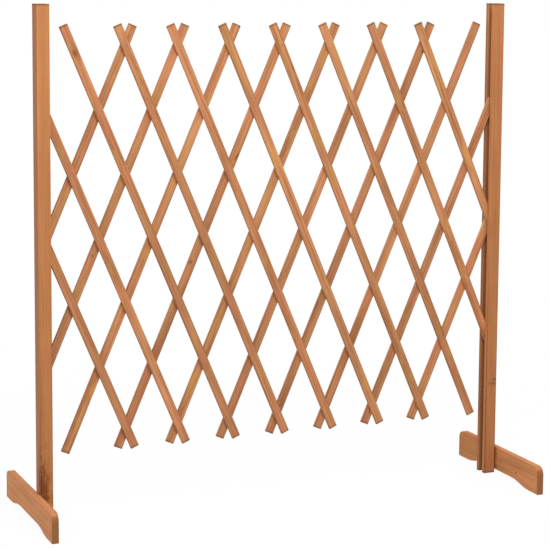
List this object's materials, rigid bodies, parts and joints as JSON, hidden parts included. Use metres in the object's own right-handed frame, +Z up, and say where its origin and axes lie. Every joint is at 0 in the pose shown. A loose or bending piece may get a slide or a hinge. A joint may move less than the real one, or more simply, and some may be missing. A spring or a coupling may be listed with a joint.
{
  "type": "expanding lattice fence",
  "caption": "Free-standing expanding lattice of stained wood: crossed slats pinned as a scissor between grooved posts on arched feet, for climbing plants or as a low screen.",
  "frame": {"origin": "on the ground, midway between the stands and midway between the ends of the feet", "axes": "+Z up, +X along the fence from the left stand to the right one, -Y towards a viewer in front"},
  "size_m": [1.0252, 0.389, 1],
  "materials": {
    "slat_wood": "orange-brown stain, matt, fine straight grain",
    "post_wood": "orange-brown stain, matt, upright grain",
    "foot_wood": "orange-brown stain, matt, grain along the foot",
    "steel": "zinc-plated"
  },
  "bodies": {
    "left_stand": {"left_post": "post_wood", "left_foot": "foot_wood", "left_foot_screws": "steel", "left_pivot_pin": "steel"},
    "right_stand": {"right_post": "post_wood", "right_foot": "foot_wood", "right_foot_screws": "steel", "right_pivot_pin": "steel"},
    "front_slat_01": {"front_slat_01": "slat_wood", "pivot_pins_01": "steel"},
    "front_slat_02": {"front_slat_02": "slat_wood", "pivot_pins_02": "steel"},
    "front_slat_03": {"front_slat_03": "slat_wood", "pivot_pins_03": "steel"},
    "front_slat_04": {"front_slat_04": "slat_wood", "pivot_pins_04": "steel"},
    "front_slat_05": {"front_slat_05": "slat_wood", "pivot_pins_05": "steel"},
    "front_slat_06": {"front_slat_06": "slat_wood", "pivot_pins_06": "steel"},
    "front_slat_07": {"front_slat_07": "slat_wood", "pivot_pins_07": "steel"},
    "front_slat_08": {"front_slat_08": "slat_wood", "pivot_pins_08": "steel"},
    "front_slat_09": {"front_slat_09": "slat_wood", "pivot_pins_09": "steel"},
    "front_slat_10": {"front_slat_10": "slat_wood", "pivot_pins_10": "steel"},
    "back_slat_01": {"back_slat_01": "slat_wood"},
    "back_slat_02": {"back_slat_02": "slat_wood"},
    "back_slat_03": {"back_slat_03": "slat_wood"},
    "back_slat_04": {"back_slat_04": "slat_wood"},
    "back_slat_05": {"back_slat_05": "slat_wood"},
    "back_slat_06": {"back_slat_06": "slat_wood"},
    "back_slat_07": {"back_slat_07": "slat_wood"},
    "back_slat_08": {"back_slat_08": "slat_wood"},
    "back_slat_09": {"back_slat_09": "slat_wood"},
    "back_slat_10": {"back_slat_10": "slat_wood"}
  },
  "joints": [
    {"name": "lattice_spread", "type": "hinge", "parent": "left_stand", "child": "front_slat_01", "pos_m": [-0.48218, 0, 0.546], "axis": [0, -1, 0], "range_deg": [-19.2, 21.8]},
    {"name": "back_slat_01_pivot", "type": "hinge", "parent": "left_stand", "child": "back_slat_01", "pos_m": [-0.48218, 0, 0.546], "axis": [0, -1, 0], "range_deg": [-21.8, 19.2]},
    {"name": "back_slat_02_pivot", "type": "hinge", "parent": "front_slat_01", "child": "back_slat_02", "pos_m": [-0.42861, 0, 0.421], "axis": [0, -1, 0], "range_deg": [-43.6, 38.4]},
    {"name": "back_slat_03_pivot", "type": "hinge", "parent": "front_slat_01", "child": "back_slat_03", "pos_m": [-0.37503, 0, 0.296], "axis": [0, -1, 0], "range_deg": [-43.6, 38.4]},
    {"name": "back_slat_04_pivot", "type": "hinge", "parent": "front_slat_01", "child": "back_slat_04", "pos_m": [-0.32146, 0, 0.17099], "axis": [0, -1, 0], "range_deg": [-43.6, 38.4]},
    {"name": "front_slat_02_pivot", "type": "hinge", "parent": "back_slat_04", "child": "front_slat_02", "pos_m": [-0.26788, 0, 0.296], "axis": [0, -1, 0], "range_deg": [-38.4, 43.6]},
    {"name": "front_slat_03_pivot", "type": "hinge", "parent": "back_slat_04", "child": "front_slat_03", "pos_m": [-0.2143, 0, 0.421], "axis": [0, -1, 0], "range_deg": [-38.4, 43.6]},
    {"name": "front_slat_04_pivot", "type": "hinge", "parent": "back_slat_04", "child": "front_slat_04", "pos_m": [-0.16073, 0, 0.546], "axis": [0, -1, 0], "range_deg": [-38.4, 43.6]},
    {"name": "front_slat_05_pivot", "type": "hinge", "parent": "back_slat_04", "child": "front_slat_05", "pos_m": [-0.10715, 0, 0.671], "axis": [0, -1, 0], "range_deg": [-38.4, 43.6]},
    {"name": "front_slat_06_pivot", "type": "hinge", "parent": "back_slat_04", "child": "front_slat_06", "pos_m": [-0.05358, 0, 0.796], "axis": [0, -1, 0], "range_deg": [-38.4, 43.6]},
    {"name": "front_slat_07_pivot", "type": "hinge", "parent": "back_slat_04", "child": "front_slat_07", "pos_m": [0, 0, 0.92101], "axis": [0, -1, 0], "range_deg": [-38.4, 43.6]},
    {"name": "back_slat_05_pivot", "type": "hinge", "parent": "front_slat_07", "child": "back_slat_05", "pos_m": [0.05358, 0, 0.796], "axis": [0, -1, 0], "range_deg": [-43.6, 38.4]},
    {"name": "back_slat_06_pivot", "type": "hinge", "parent": "front_slat_07", "child": "back_slat_06", "pos_m": [0.10715, 0, 0.671], "axis": [0, -1, 0], "range_deg": [-43.6, 38.4]},
    {"name": "back_slat_07_pivot", "type": "hinge", "parent": "front_slat_07", "child": "back_slat_07", "pos_m": [0.16073, 0, 0.546], "axis": [0, -1, 0], "range_deg": [-43.6, 38.4]},
    {"name": "back_slat_08_pivot", "type": "hinge", "parent": "front_slat_07", "child": "back_slat_08", "pos_m": [0.2143, 0, 0.421], "axis": [0, -1, 0], "range_deg": [-43.6, 38.4]},
    {"name": "back_slat_09_pivot", "type": "hinge", "parent": "front_slat_07", "child": "back_slat_09", "pos_m": [0.26788, 0, 0.296], "axis": [0, -1, 0], "range_deg": [-43.6, 38.4]},
    {"name": "back_slat_10_pivot", "type": "hinge", "parent": "front_slat_07", "child": "back_slat_10", "pos_m": [0.32146, 0, 0.17099], "axis": [0, -1, 0], "range_deg": [-43.6, 38.4]},
    {"name": "front_slat_08_pivot", "type": "hinge", "parent": "back_slat_10", "child": "front_slat_08", "pos_m": [0.37503, 0, 0.296], "axis": [0, -1, 0], "range_deg": [-38.4, 43.6]},
    {"name": "front_slat_09_pivot", "type": "hinge", "parent": "back_slat_10", "child": "front_slat_09", "pos_m": [0.42861, 0, 0.421], "axis": [0, -1, 0], "range_deg": [-38.4, 43.6]},
    {"name": "front_slat_10_pivot", "type": "hinge", "parent": "back_slat_10", "child": "front_slat_10", "pos_m": [0.48218, 0, 0.546], "axis": [0, -1, 0], "range_deg": [-38.4, 43.6]},
    {"name": "right_stand_pivot", "type": "hinge", "parent": "back_slat_10", "child": "right_stand", "pos_m": [0.48218, 0, 0.546], "axis": [0, -1, 0], "range_deg": [-19.2, 21.8]}
  ],
  "couplings": [
    {"joint": "back_slat_01_pivot", "follows": "lattice_spread", "ratio": -1},
    {"joint": "back_slat_02_pivot", "follows": "lattice_spread", "ratio": -2},
    {"joint": "back_slat_03_pivot", "follows": "lattice_spread", "ratio": -2},
    {"joint": "back_slat_04_pivot", "follows": "lattice_spread", "ratio": -2},
    {"joint": "front_slat_02_pivot", "follows": "lattice_spread", "ratio": 2},
    {"joint": "front_slat_03_pivot", "follows": "lattice_spread", "ratio": 2},
    {"joint": "front_slat_04_pivot", "follows": "lattice_spread", "ratio": 2},
    {"joint": "front_slat_05_pivot", "follows": "lattice_spread", "ratio": 2},
    {"joint": "front_slat_06_pivot", "follows": "lattice_spread", "ratio": 2},
    {"joint": "front_slat_07_pivot", "follows": "lattice_spread", "ratio": 2},
    {"joint": "back_slat_05_pivot", "follows": "lattice_spread", "ratio": -2},
    {"joint": "back_slat_06_pivot", "follows": "lattice_spread", "ratio": -2},
    {"joint": "back_slat_07_pivot", "follows": "lattice_spread", "ratio": -2},
    {"joint": "back_slat_08_pivot", "follows": "lattice_spread", "ratio": -2},
    {"joint": "back_slat_09_pivot", "follows": "lattice_spread", "ratio": -2},
    {"joint": "back_slat_10_pivot", "follows": "lattice_spread", "ratio": -2},
    {"joint": "front_slat_08_pivot", "follows": "lattice_spread", "ratio": 2},
    {"joint": "front_slat_09_pivot", "follows": "lattice_spread", "ratio": 2},
    {"joint": "front_slat_10_pivot", "follows": "lattice_spread", "ratio": 2},
    {"joint": "right_stand_pivot", "follows": "lattice_spread", "ratio": 1}
  ]
}
